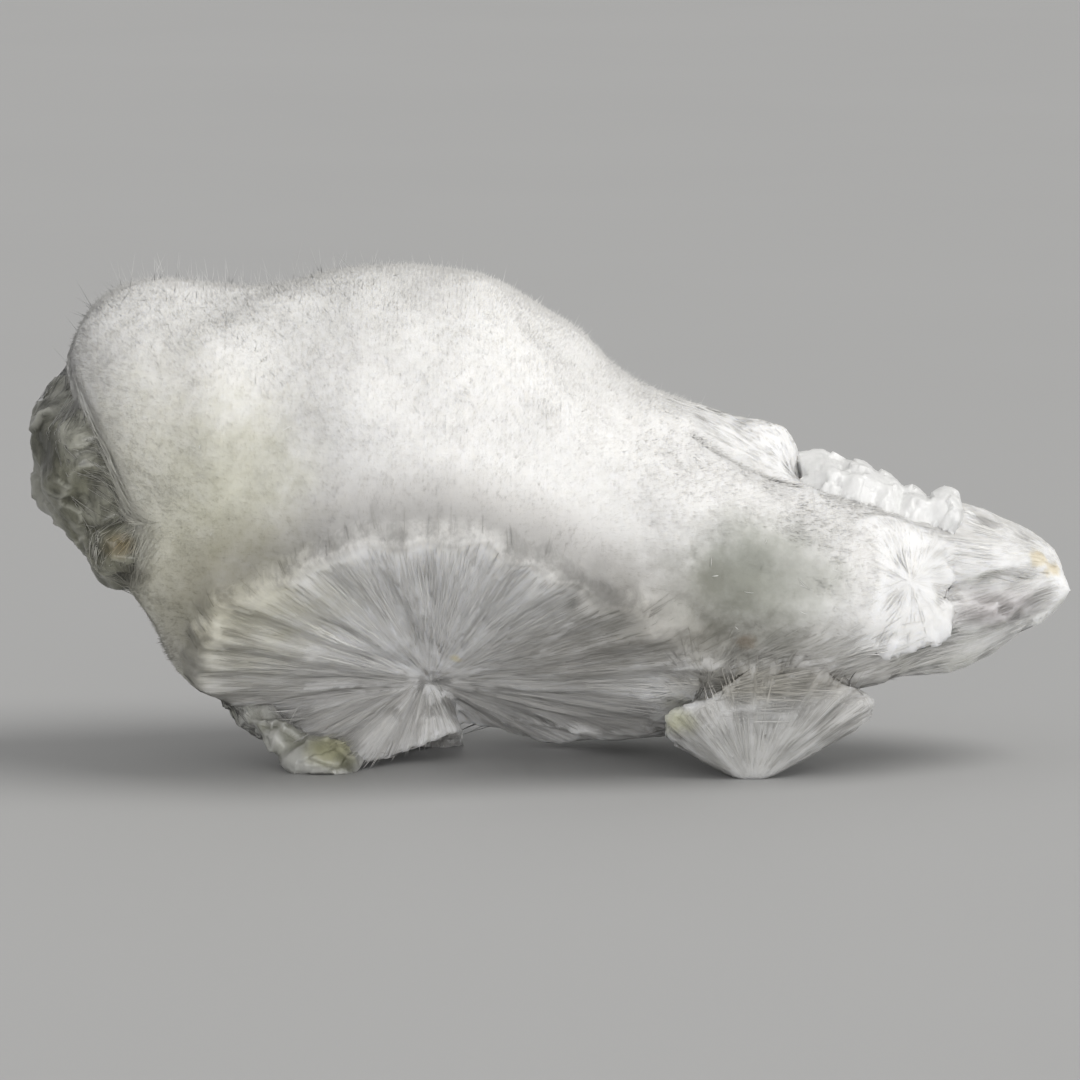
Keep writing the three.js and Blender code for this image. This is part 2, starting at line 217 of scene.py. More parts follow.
HEARTS = {
    Zone.MAIN_FAN: Heart((-4.8, 0.5, 3.2), (0, -0.6, -0.8), 84, 16, second=-7, upward=1),
    Zone.SIDE_FAN: Heart((6.0, -4.3, 3.6), (0.25, -0.55, -0.8), 84, 9.5, second=-4),
    Zone.FOOT_FAN: Heart((8.1, -4.4, -0.3), (0.1, 0.5, 0.86), 46, 6.2, 12, -6, filled=True),
    Zone.ROSETTE: Heart((14.4, -5.0, 8.1), (-0.32, 0.9, -0.27), 66, 3.5, upward=-4, slack=0.35),
}
FAN = HEARTS[Zone.MAIN_FAN]


@dataclass(frozen=True)
class Seam:
    """A groove, or where the depth is negative a lip, along a line on the stone."""

    start: Point
    end: Point
    width: float
    depth: float
    crinkle: float = 0.0

    def strength(self, p: Array) -> Array:
        """Returns how strongly the seam is felt at each point, from 0 to 1."""
        a, b = np.array([self.start, self.end])
        share = np.clip((p - a) @ (b - a) / ((b - a) @ (b - a)), 0, 1)
        gap = away(p - a - share[:, None] * (b - a) + 0.12 * noise3(p / 0.8, 81))
        taper = np.sqrt(np.clip(4 * share * (1 - share), 0, 1))
        ragged = 1 + self.crinkle * 0.5 * (noise(p / 0.55, 84) + noise(p / 0.2, 85))
        return np.exp(-((gap / self.width) ** 2)) * taper * ragged


SEAMS = [Seam(*row) for row in (
    ((15.2, -4.1, 7.3), (20.5, -0.7, 7.9), 0.38, 0.45),
    ((15.8, -3.7, 6.2), (20.3, -0.5, 7.0), 0.3, 0.25),
    ((5.6, -3.4, 13.9), (10.2, -2.2, 11.5), 0.25, 0.3),
    ((14.4, -4.9, 8.2), (14.7, -3.6, 9.4), 0.08, 0.12),
    ((14.5, -4.9, 8.1), (15.9, -3.8, 7.8), 0.08, 0.12),
    ((12.0, -2.0, 3.9), (20.8, -0.1, 6.3), 0.3, -0.3, 0.9),
    ((-1.4, 1.9, 1.4), (3.8, 0.2, 1.0), 0.25, -0.2, 0.9),
    ((6.0, -3.7, 3.3), (9.8, -4.8, 4.2), 0.16, -0.22, 0.5),
)]
PALENESS = {Zone.MAIN_FAN: 0.95, Zone.SIDE_FAN: 0.6, Zone.SKIRT: 0.0, Zone.FOOT_FAN: 0.7}
DARKEST, PALEST = -0.6, 1.1
SNOW = Seam((12.2, -5.4, 6.2), (17.0, -3.8, 6.7), 0.7, -0.18, 0.9)
HEM = Seam((-8.0, -1.4, 0.9), (-2.4, 0.3, 1.7), 0.7, 0.0)
PUFF_HEART = (-4.8, 0.5, 4.2)
SOURCES = dict.fromkeys(Zone, PUFF_HEART) | {zone: heart.centre for zone, heart in HEARTS.items()}
SOURCES |= {Zone.SKIRT: (-4.9, 0.7, 3.5), Zone.CREST: (10.6, -0.9, 11.2), Zone.TAIL: (20.9, 0.9, 7.5)}
CROOK = ((8.6, -6.0, 8.2), (3.4, 3.0, 2.3))
HOLLOWS = ((-5.8, 0.6, 2.8), (1.8, 1.0, 1.0))
BUNDLE = (-0.75, -0.45, 0.48)
BALL = (4.1, -3.8, 3.0)


class Growth:
    """Says, for any points on the okenite, which needles they belong to and how those run."""

    def __init__(self) -> None:
        """Starts with no edge round the main fan."""
        self.edge = KDTree(0)

    def learn(self, shell: "Shell") -> None:
        """Keeps where the shell turns over at the outer edge of the main fan."""
        turned = shell.normals @ FAN.axis < 0.75
        fan = self.zones(shell.points)[:, Zone.MAIN_FAN] > 0.4
        self.edge = point_tree(shell.points[turned & fan & (shell.points[:, 2] > 2.5)])

    def rim(self, p: Array) -> Array:
        """Returns how close each point is to the outer edge of the main fan."""
        return 1 - ramp(asked(self.edge.find, p, 2), 0.1, 0.9)

    def zones(self, p: Array) -> Array:
        """Returns the weight of every zone at the points p, one column a zone."""
        x, y, z = p.T
        w = np.zeros((len(p), len(Zone)))
        for zone, heart in HEARTS.items():
            w[:, zone] = heart.weight(p)
        hung = ramp(-FAN.behind(p), 0.2, 0.5) * (1 - ramp(x, 0.0, 1.5))
        w *= 1 - hung[:, None]
        w[:, Zone.SKIRT] = hung
        snow = SNOW.strength(p)
        w[:, Zone.ROSETTE] *= 1 - np.clip(1.3 * snow, 0, 1)
        taken = w.max(axis=1)
        tail = ramp(x + 0.4 * noise(p / 0.8, 3), 13.4, 15.2)
        w[:, Zone.TAIL] = (1 - taken) * (1 - np.clip(snow, 0, 1)) * tail
        crest = ramp(x, 4.2, 6.6) * (1 - ramp(x, 10.4, 11.6)) * ramp(z + 0.62 * x, 17.1, 18.3)
        w[:, Zone.CREST] = (1 - taken) * crest * (1 - ramp(y, 3.0, 5.0))
        w[:, Zone.PUFF] = np.clip(1 - w.sum(axis=1), 0, 1)
        return w

    def crook(self, p: Array) -> Array:
        """Returns how much each point lies in the bare, glassy hollow of the front."""
        return 1 - ramp(away(p, *CROOK) + 0.3 * noise(p / 0.9, 17), 0.55, 1.1)

    def brim(self, p: Array) -> Array:
        """Returns how close each point is to the outer edge of the main fan's break."""
        inside = 1 - FAN.weight(p + 1.2 * self.lie(p, Zone.MAIN_FAN))
        return inside * ramp(away(p, PUFF_HEART), 4.0, 6.0)

    def brink(self, p: Array) -> Array:
        """Returns how close each point of the puff is to the main fan, most so on the left."""
        behind = FAN.behind(p) + 0.25 * noise(p / 1.6, 9)
        near = 1 - ramp(away(p, PUFF_HEART), 14.5, 17.0)
        return near * (1 - ramp(behind, 0.8, 3.4))

    def mess(self, p: Array) -> Array:
        """Returns how much each point lies in a small hollow near the main fan's heart."""
        return (1 - ramp(away(p, *HOLLOWS), 0.6, 2.0)) * ramp(noise(p / 0.7, 95), 0.1, 0.6)

    def skin(self, p: Array, n: Array) -> Array:
        """Returns how much each point lies on the glassy skin of the underside."""
        return self.zones(p)[:, [Zone.PUFF, Zone.TAIL]].sum(1) * ramp(-n[:, 2], 0.35, 0.8)

    def pale(self, p: Array, n: Array) -> Array:
        """Returns how pale the needles are at the points p with normals n, less the shade painted
        along the main fan's edge, on its sides, in the grooves and in the hollows by its heart.
        """
        w, x, z = self.zones(p), p[:, 0], p[:, 2]
        pale = w @ np.array([PALENESS.get(zone, 1.0) for zone in Zone])
        rays = self.lie(p, Zone.MAIN_FAN)
        fan = w[:, Zone.MAIN_FAN]
        bundle = np.exp(-np.sum((rays - unit(BUNDLE)) ** 2, axis=1) / 0.06)
        streaks = 0.2 * noise(rays * 3.2, 91) + 0.2 * noise(rays * 10, 93)
        # Painted shade: the main fan is painted darker towards its right, under the overhang, most of
        # all low down, and towards its far left.
        low = 1 - 0.5 * ramp(rays[:, 2], 0.1, 0.4)
        painted_side_shade = 0.9 * low * ramp(rays[:, 0], 0.2, 0.9) + 0.8 * ramp(-rays[:, 0], 0.55, 0.9)
        ball = np.exp(-np.sum((p - BALL) ** 2, axis=1) / 2.5)
        pale += fan * (0.25 * bundle + streaks - painted_side_shade) + 0.95 * ball
        skirt = 0.2 * noise(self.lie(p, Zone.SKIRT) * 5, 94) + 0.3 * HEM.strength(p)
        # Painted shade: the small hollows by the main fan's heart are painted darker as well as being
        # sunk.
        pale += w[:, Zone.SKIRT] * skirt - 0.3 * self.mess(p)
        foot = self.lie(p, Zone.FOOT_FAN)
        far = away(p, SOURCES[Zone.FOOT_FAN]) + 0.5 * noise(foot * 9, 92)
        pale -= 0.7 * w[:, Zone.FOOT_FAN] * ramp(far, 3.0, 3.5)
        # Painted shade: the main fan's outer rim, where it turns up to the light, and the puff beside
        # the fan, most on the left, are painted darker so that they match the fan's own shade.
        lip = fan * np.maximum(1 - ramp(n @ FAN.axis, 0.7, 0.92), 0.8 * self.rim(p))
        lip *= ramp(((x + 4.9) / 8.3) ** 2 + ((z - 3.0) / 6.3) ** 2, 0.8, 1.0)
        pale -= 1.3 * (lip + self.brink(p) * w[:, Zone.PUFF]) * (1 - ramp(x, 2.0, 5.0))
        # Painted shade: the grooves are painted darker as well as being cut in.
        for seam in SEAMS:
            if seam.depth > 0:
                pale -= 0.7 * seam.strength(p)
        return np.clip(pale, DARKEST, PALEST)

    def fuzz(self, p: Array, n: Array) -> Array:
        """Returns how much of the full pile of velvet stands at the points p with normals n."""
        w = self.zones(p)[:, Zone.PUFF] * (1 - 0.8 * self.crook(p)) * (1 - 0.3 * self.brink(p))
        return w * (1 - 0.8 * ramp(-n[:, 2], 0.35, 0.8))

    def stand(self, p: Array, n: Array) -> Array:
        """Returns the direction that the velvet stands in at the points p with normals n."""
        slope = ramp(p[:, 0], 0.0, 7.0)[:, None] * (0.6, 0.0, -0.2)
        return unit(0.45 * n + 0.6 * unit(p - PUFF_HEART) + slope + 0.3 * noise3(p / 3.1, 11))

    def lie(self, p: Array, zone: Zone) -> Array:
        """Returns the direction of the rays of a zone at the points p."""
        return unit(p - SOURCES[zone])


GROWTH = Growth()


# ---- meshes ----


def pushed(p: Array, n: Array, push: Array) -> Array:
    """Returns the points pushed out along their normals n, but never below the ground."""
    points = p + n * push[:, None]
    points[:, 2] = np.maximum(points[:, 2], 0.0)
    return points


@dataclass
class Shell:
    """A surface as plain arrays, in millimetres."""

    points: Array
    faces: Array
    normals: Array

    @staticmethod
    def of(mesh: bpy.types.Mesh, scale: float) -> "Shell":
        """Reads a mesh whose faces all have the same number of corners.

        Args:
            mesh: The mesh to read.
            scale: Millimetres in one of the mesh's units.

        Returns:
            The mesh's points, faces and point normals.
        """
        points, normals = np.empty((2, 3 * len(mesh.vertices)))
        mesh.vertices.foreach_get("co", points)
        mesh.vertex_normals.foreach_get("vector", normals)
        corners = np.empty(len(mesh.loops), np.int64)
        mesh.loops.foreach_get("vertex_index", corners)
        faces = corners.reshape(len(mesh.polygons), -1)
        return Shell(points.reshape(-1, 3) * scale, faces, normals.reshape(-1, 3))

    @cached_property
    def tree(self) -> BVHTree:
        """A search tree of the faces."""
        return BVHTree.FromPolygons(self.points.tolist(), self.faces.tolist())

    def whole(self) -> "Shell":
        """Returns the largest connected part of the surface, without loose crumbs."""
        label, before = np.arange(len(self.points)), None
        while before is None or (label != before).any():
            before = label.copy()
            np.minimum.at(label, self.faces, label[self.faces].min(axis=1)[:, None])
            label = label[label]
        keep = label == np.bincount(label).argmax()
        place = np.cumsum(keep) - 1
        faces = place[self.faces[keep[self.faces[:, 0]]]]
        return Shell(self.points[keep], faces, self.normals[keep])

    def sample(self, count: int) -> tuple[Array, Array]:
        """Scatters points evenly over the surface.

        Args:
            count: How many points.

        Returns:
            The points and the surface's normals there.
        """
        a, b, c = (self.points[self.faces[:, k]] for k in range(3))
        area = away(np.cross(b - a, c - a))
        pick = RNG.choice(len(area), count, p=area / area.sum())
        u, v = RNG.random((2, count))
        flip = u + v > 1
        u, v = np.where(flip, 1 - u, u)[:, None], np.where(flip, 1 - v, v)[:, None]
        spot = a[pick] + u * (b - a)[pick] + v * (c - a)[pick]
        na, nb, nc = (self.normals[self.faces[pick, k]] for k in range(3))
        return spot, unit(na * (1 - u - v) + nb * u + nc * v)

    def scatter(self, count: int, tries: float, chance: Callable) -> tuple[Array, Array]:
        """Scatters points and keeps some of them by chance.

        Args:
            count: How many points to keep at most.
            tries: How many are scattered for each of those.
            chance: Says how likely points with their normals are to stay.

        Returns:
            The points and the surface's normals there.
        """
        p, n = self.sample(int(count * tries))
        pick = np.flatnonzero(RNG.random(len(p)) < chance(p, n))[:count]
        return p[pick], n[pick]

    def settled(self, spots: Array, lift: float) -> Array:
        """Returns the spots moved onto the surface, and lifted off it that far."""
        out = np.empty_like(spots)
        for k, spot in enumerate(spots.tolist()):
            place, normal, _, _ = self.tree.find_nearest(spot)
            out[k] = place + normal * lift
        return out


def placed(name: str, data: bpy.types.ID) -> Piece:
    """Puts a mesh, a lamp or a camera in the scene, and returns its object."""
    piece = bpy.data.objects.new(name, data)
    bpy.context.scene.collection.objects.link(piece)
    return piece


def new_piece(name: str, points: Array, faces: Array, **notes: Array) -> Piece:
    """Makes a smooth piece from points in millimetres and faces of one size.

    Args:
        name: The piece's name.
        points: One point a row.
        faces: One face a row, as indices of points.
        **notes: Numbers or vectors, one for each point, for the material to read.

    Returns:
        The new object.
    """
    mesh = bpy.data.meshes.new(name)
    mesh.vertices.add(len(points))
    mesh.vertices.foreach_set("co", (points * MM).astype(np.float32).ravel())
    mesh.loops.add(faces.size)
    mesh.loops.foreach_set("vertex_index", faces.astype(np.int32).ravel())
    mesh.polygons.add(len(faces))
    starts = np.arange(0, faces.size, faces.shape[1], dtype=np.int32)
    mesh.polygons.foreach_set("loop_start", starts)
    mesh.polygons.foreach_set("use_smooth", np.ones(len(faces), bool))
    mesh.update(calc_edges=True)
    mesh.validate()
    for item, values in notes.items():
        kind, key = ("FLOAT", "value") if values.ndim == 1 else ("FLOAT_VECTOR", "vector")
        layer = mesh.attributes.new(item, kind, "POINT")
        layer.data.foreach_set(key, values.astype(np.float32).ravel())
    return placed(name, mesh)


def redrawn(node: str, voxel: float, rounds: int) -> Shell:
    """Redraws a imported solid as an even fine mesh.

    Args:
        node: The solid's name.
        voxel: The size of a face, in millimetres.
        rounds: How many times the result is smoothed.

    Returns:
        The fine surface, of four-cornered faces.
    """
    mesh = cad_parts[node].data.copy()
    mesh.transform(Matrix.Scale(TO_MM, 4))
    helper = placed("helper", mesh)
    remesh = helper.modifiers.new("even", "REMESH")
    remesh.mode = "VOXEL"
    remesh.voxel_size = voxel
    soften = helper.modifiers.new("soften", "SMOOTH")
    soften.iterations = rounds
    graph = bpy.context.evaluated_depsgraph_get()
    fine = bpy.data.meshes.new_from_object(helper.evaluated_get(graph))
    shell = Shell.of(fine, 1.0).whole()
    bpy.data.objects.remove(helper)
    bpy.data.meshes.remove(mesh)
    bpy.data.meshes.remove(fine)
    return shell


# ---- needles ----


def frames_across(along: Array) -> tuple[Array, Array]:
    """Returns two directions square to each row of along, turned by chance."""
    helper = unit(RNG.normal(size=along.shape))
    u = unit(np.cross(along, helper))
    return u, np.cross(along, u)


def along_normal(way: Array, n: Array) -> Array:
    """Returns the part of each direction that runs along the normal n."""
    return (way * n).sum(1)[:, None] * n


@dataclass(frozen=True)
class Cut:
    """How a closed needle is cut, as corners and three-cornered faces.

    Each corner has its place on the needle's line, its distance from it as a share of the
    needle's width, its turn in thirds, how far along the needle it counts as, and the place
    on the line that it takes its paleness from.
    """

    corners: tuple[tuple[int, float, int, float, int], ...]
    faces: tuple[tuple[int, int, int], ...]


SPIKE = Cut(
    ((1, 0.0, 0, 1.0, 0),) + tuple((0, 1.0, k, 0.0, 0) for k in range(3)),
    ((0, 1, 2), (0, 2, 3), (0, 3, 1), (3, 2, 1)),
)
FIBRE = Cut(
    ((0, 0.0, 0, 0.0, 0),)
    + tuple((1, 1.0, k, 0.35, 1) for k in range(3))
    + tuple((2, 0.8, k, 0.7, 2) for k in range(3))
    + ((3, 0.0, 0, 1.0, 3),),
    tuple(
        face
        for a, b in ((1, 2), (2, 3), (3, 1))
        for face in ((0, b, a), (a, b, b + 3), (a, b + 3, a + 3), (7, a + 3, b + 3))
    ),
)


def needles(name: str, line: Array, width: Array, ground: Array, cut: Cut = FIBRE) -> Piece:
    """Makes one piece of many needles.

    Args:
        name: The piece's name.
        line: For each needle, the points along its middle.
        width: The radius of each needle.
        ground: The normal of the surface under each needle.
        cut: How the needles are cut.

    Returns:
        The piece, with the notes "along", "ground" and "pale".
    """
    u, v = frames_across(unit(line[:, -1] - line[:, 0]))
    places, shares, turns, along, shades = zip(*cut.corners)
    points = np.empty((len(line), len(places), 3))
    for k, (place, share, turn) in enumerate(zip(places, shares, turns)):
        t = 2 * math.pi * turn / 3
        side = math.cos(t) * u + math.sin(t) * v
        points[:, k] = line[:, place] + share * width[:, None] * side
    middle = line[:, : max(shades) + 1]
    pale = GROWTH.pale(middle.reshape(-1, 3), np.repeat(ground, middle.shape[1], axis=0))
    first = len(places) * np.arange(len(line))[:, None, None]
    faces = (first + np.array(cut.faces)).reshape(-1, 3)
    return new_piece(name, points.reshape(-1, 3), faces, along=np.tile(along, len(line)),
                     ground=np.repeat(ground, len(places), axis=0),
                     pale=pale.reshape(len(line), -1)[:, shades].ravel())


@dataclass
class Velvet:
    """The short needles that stand all over the puff."""

    count: int = 140000
    foot: float = 0.036
    depth: float = 0.26
    proud: float = 0.05
    clumps: int = 9000
    gather: float = 0.15
    sway: float = 0.09

    def build(self, body: Shell) -> list[Piece]:
        """Stands the needles on the puff.

        Args:
            body: The okenite's own surface, which the tips pass by a little.

        Returns:
            The pieces of velvet.
        """
        p, n = body.scatter(self.count, 2.2, GROWTH.fuzz)
        mid, mid_n = body.sample(self.clumps)
        mid_way = unit(GROWTH.stand(mid, mid_n) + self.sway * RNG.normal(size=mid.shape))
        tall = RNG.normal(0, 0.015, self.clumps)
        near = asked(point_tree(mid).find, p, 1)
        way = 0.6 * GROWTH.stand(p, n) + 0.4 * mid_way[near]
        way = unit(way + self.sway * RNG.normal(size=p.shape))
        rise = self.proud * RNG.exponential(1.0, len(p)).clip(0, 4) + tall[near]
        tip = p + way * rise[:, None]
        goal = mid[near] + mid_way[near] * (tall[near] + self.proud)[:, None]
        tip += self.gather * (goal - tip) * RNG.random((len(p), 1))
        width = self.foot * RNG.uniform(0.75, 1.25, len(p))
        parts = np.array_split(np.argsort(p[:, 0]), 4)
        line = np.stack([p - way * self.depth, tip], axis=1)
        return [
            needles(f"velvet_{k + 1}", line[part], width[part], n[part], SPIKE)
            for k, part in enumerate(parts)
        ]


@dataclass
class Strays:
    """The long thin needles that stand clear of the velvet, in sprays from single points."""

    sprays: tuple[tuple[Point, tuple[float, ...], float, float], ...] = (
        ((-13.0, 0.5, 9.0), (142, 132, 121, 112, 104, 97, 90, 83, 76), 0.1, 1.3),
        ((-5.0, 0.5, 6.0), (104, 92, 84, 77, 63, 56, 49), 0.05, 0.8),
        ((2.0, 0.5, 6.0), (74, 64, 52), 0.1, 0.7),
        ((-12.0, -1.0, 11.0), (155,), 0.0, 0.9),
    )
    extra: int = 3200

    def build(self, body: Shell) -> Piece:
        """Stands the needles on the puff.

        Args:
            body: The okenite's own surface.

        Returns:
            The piece of needles.
        """
        rows = [], [], []
        for start, turns, rise, length in self.sprays:
            for k, turn in enumerate(turns):
                sway, more = repeatable(k, 3, 1), repeatable(k, 5, 2)
                angle = math.radians(turn)
                ray = Vector((math.cos(angle), 0.25 * sway + rise, math.sin(angle))).normalized()
                foot, normal, _, _ = body.tree.ray_cast(Vector(start), ray)
                tip = foot + ray * length * (1 + 0.35 * more)
                for row, item in zip(rows, (foot - ray * 0.6, tip, normal)):
                    row.append(item)
        root, tip, n = (np.vstack([np.array(a), b]) for a, b in zip(rows, self.scattered(body)))
        line = np.stack([root, tip], axis=1)
        return needles("stray_needles", line, RNG.uniform(0.01, 0.02, len(line)), n, SPIKE)

    def chance(self, p: Array, n: Array) -> Array:
        """Returns how likely a stray is to stand at each point."""
        return GROWTH.fuzz(p, n) * (ramp(n[:, 2], 0.3, 1.0) * (0.4 + ramp(-p[:, 0], 4.0, 13.0)))

    def scattered(self, body: Shell) -> tuple[Array, Array, Array]:
        """Returns roots, tips and normals of shorter strays, thickest on the upper left."""
        p, n = body.scatter(self.extra, 12, self.chance)
        way = unit(GROWTH.stand(p, n) + 0.35 * RNG.normal(size=p.shape))
        left = ramp(-p[:, 0], 3.0, 11.0) * ramp(n[:, 2], 0.2, 0.8)
        rise = RNG.uniform(0.06, 0.3, len(p)) + (0.35 + 0.8 * left) * RNG.random(len(p)) ** 6
        return p - 0.3 * way, p + way * rise[:, None], n


@dataclass
class LaidFibres:
    """The needles that lie along a broken face, all from one heart."""

    zone: Zone
    count: int
    length: tuple[float, float]
    width: tuple[float, float]
    lift: float = 0.012
    stray: float = 0.03
    free: bool = False
    slip: float = 0.4
    kind: str = "fibres"

    def chance(self, p: Array, n: Array) -> Array:
        """Returns how likely a fibre is to lie at each point."""
        return GROWTH.zones(p)[:, self.zone]

    def way(self, p: Array) -> Array:
        """Returns the direction of the fibres at each point."""
        return GROWTH.lie(p, self.zone)

    def laid(self, spots: Array, n: Array, core: Shell, lift: float) -> Array:
        """Returns the spots laid down on the core, whose normals there are about n."""
        return core.settled(spots, lift)

    def build(self, core: Shell) -> Piece:
        """Lays the fibres on the core.

        Args:
            core: The core's surface.

        Returns:
            The piece of fibres.
        """
        p, n = core.scatter(self.count, 30, self.chance)
        way = self.way(p) + self.stray * RNG.normal(size=p.shape)
        way = unit(way - along_normal(way, n))
        half = RNG.uniform(*self.length, len(p)) / 2
        line, moved = np.empty((len(p), 4, 3)), np.zeros(len(p))
        for k, (share, lift) in enumerate(((-1, -3.0), (-0.4, 1), (0.4, 1), (1, -1.0))):
            spots = p + way * (share * half)[:, None]
            on = not self.free or k < 3
            line[:, k] = self.laid(spots, n, core, self.lift * lift) if on else spots
            moved = np.maximum(moved, away(line[:, k], spots))
        flat = moved < self.slip
        width = RNG.uniform(*self.width, flat.sum())
        return needles(f"{self.zone.name.lower()}_{self.kind}", line[flat], width, n[flat])


@dataclass
class Hem(LaidFibres):
    """Needles whose ends stand clear of the skirt's lower edge."""

    free: bool = True
    kind: str = "hem"

    def chance(self, p: Array, n: Array) -> Array:
        """Returns how likely a needle is to lie at each point."""
        return HEM.strength(p) ** 2


@dataclass
class Veil(LaidFibres):
    """Needles that run on from the okenite over the edge of a scrap of rind."""

    source: Point = (0, 0, 0)
    reach: float = 1.0
    rind: Shell | None = None
    both: Shell | None = None
    lift: float = 0.03
    slip: float = 1.6
    kind: str = "veil"

    def chance(self, p: Array, n: Array) -> Array:
        """Returns how likely a fibre is to lie at each point, most so next to the rind."""
        near = away(asked(self.rind.tree.find_nearest, p, 0), p)
        return 1 - ramp(near, 0.4 * self.reach, self.reach)

    def way(self, p: Array) -> Array:
        """Returns the direction of the fibres at each point, which is away from the source."""
        return unit(p - self.source)

    def laid(self, spots: Array, n: Array, core: Shell, lift: float) -> Array:
        """Returns the spots dropped from outside onto whichever piece lies outermost there."""
        out = spots.copy()
        for k, (spot, ray) in enumerate(zip(spots, n)):
            place = self.both.tree.ray_cast(Vector(spot + 2.0 * ray), Vector(-ray), 3.5)[0]
            if place:
                out[k] = np.array(place) + lift * ray
        return out

    def over(self, body: Shell, rind: Shell) -> Piece:
        """Lays the fibres over the body and the rind together."""
        faces = np.vstack([body.faces, rind.faces + len(body.points)])
        self.rind = rind
        self.both = Shell(np.vstack([body.points, rind.points]), faces, body.normals)
        return self.build(body)


@dataclass
class Wisps:
    """Loose needles lying this way and that over the velvet and in the glassy hollow."""

    count: int = 1000

    def chance(self, p: Array, n: Array) -> Array:
        """Returns how likely a wisp is to lie at each point."""
        return 0.008 * GROWTH.fuzz(p, n) + 0.06 * GROWTH.crook(p) * GROWTH.zones(p)[:, Zone.PUFF]

    def build(self, body: Shell) -> Piece:
        """Lays the wisps.

        Args:
            body: The okenite's own surface.

        Returns:
            The piece of wisps.
        """
        p, n = body.scatter(self.count, 12, self.chance)
        crook = GROWTH.crook(p)[:, None]
        way = GROWTH.stand(p, n) + (0.3 + 0.5 * crook) * RNG.normal(size=p.shape)
        way = unit(way - along_normal(way, n) * (0.75 + 0.25 * crook))
        half = RNG.uniform(0.12, 0.4, len(p))
        bow = 0.1 * half[:, None] * unit(np.cross(way, n)) * RNG.normal(size=(len(p), 1))
        line = np.empty((len(p), 4, 3))
        for k, (share, lift) in enumerate(((-1, -0.05), (-0.35, 0.03), (0.35, 0.03), (1, -0.02))):
            spots = p + way * (share * half)[:, None] + bow * (1 - share * share)
            line[:, k] = body.settled(spots, lift)
        return needles("wisps", line, RNG.uniform(0.01, 0.024, len(p)), n)


# ---- the core ----


@dataclass
class Core:
    """The body under the needles."""

    voxel: float = 0.18
    inset: float = 0.08

    def body(self) -> Shell:
        """Redraws the okenite solid, softer where velvet hides it.

        Returns:
            The okenite's own surface.
        """
        crisp, soft = redrawn("okenite", self.voxel, 2), redrawn("okenite", self.voxel, 30)
        x, up = soft.points[:, 0], np.maximum(soft.normals[:, 1], soft.normals[:, 2])
        tail = np.maximum(ramp(x, 18.0, 19.8), ramp(x, 13.5, 15.0) * ramp(up, 0.1, 0.5))
        w = GROWTH.zones(soft.points)[:, Zone.PUFF] + 0.9 * tail
        w += FAN.weight(soft.points, 0.8) * GROWTH.brim(soft.points)
        w = np.clip(w, 0, 1)[:, None]
        crisp.points = crisp.points * (1 - w) + soft.points * w
        crisp.normals = unit(crisp.normals * (1 - w) + soft.normals * w)
        return crisp

    def sunk(self, body: Shell) -> Shell:
        """Sinks the body under the velvet, and ridges it along the broken faces.

        Args:
            body: The okenite's own surface.

        Returns:
            The core's surface.
        """
        p, n = body.points, body.normals
        w = GROWTH.zones(p)
        push = -self.inset * GROWTH.fuzz(p, n)
        push += 0.02 * w[:, Zone.PUFF] * noise(p / 0.9, 5)
        knobs = 0.06 * GROWTH.skin(p, n) * (noise(p / 0.45, 6) + noise(p / 1.2, 7))
        push += knobs - 0.15 * GROWTH.mess(p)
        for zone in Zone:
            if zone is Zone.PUFF:
                continue
            rays = GROWTH.lie(p, zone) + 0.015 * noise3(p / 1.7, 51)
            most = 0.06 if zone in (Zone.TAIL, Zone.CREST, Zone.ROSETTE) else 0.14
            size = np.minimum(most, 0.022 * away(p, SOURCES[zone]))
            size = 0.35 * size if zone is Zone.TAIL else size
            bundles = noise(rays * 7, 21 + zone) + 0.6 * noise(rays * 16, 31 + zone)
            push += w[:, zone] * size * (bundles + 0.35 * noise(rays * 34, 61 + zone))
        for seam in (*SEAMS, SNOW):
            push -= seam.depth * seam.strength(p)
        return Shell(pushed(p, n, push), body.faces, n)

    def dress(self, shell: Shell) -> Piece:
        """Makes the core's piece, with what its material needs noted on it.

        Args:
            shell: The core's surface.

        Returns:
            The piece.
        """
        p, n = shell.points, shell.normals
        w, grain = GROWTH.zones(p), np.zeros_like(p)
        for zone in Zone:
            grain += w[:, zone, None] * GROWTH.lie(p, zone)
        grain = unit(grain) + 0.012 * noise3(p / 1.7, 51)
        return new_piece("okenite_core", p, shell.faces, grain=grain, velvet=w[:, Zone.PUFF],
                         pale=GROWTH.pale(p, n), skin=GROWTH.skin(p, n))


# ---- rind ----


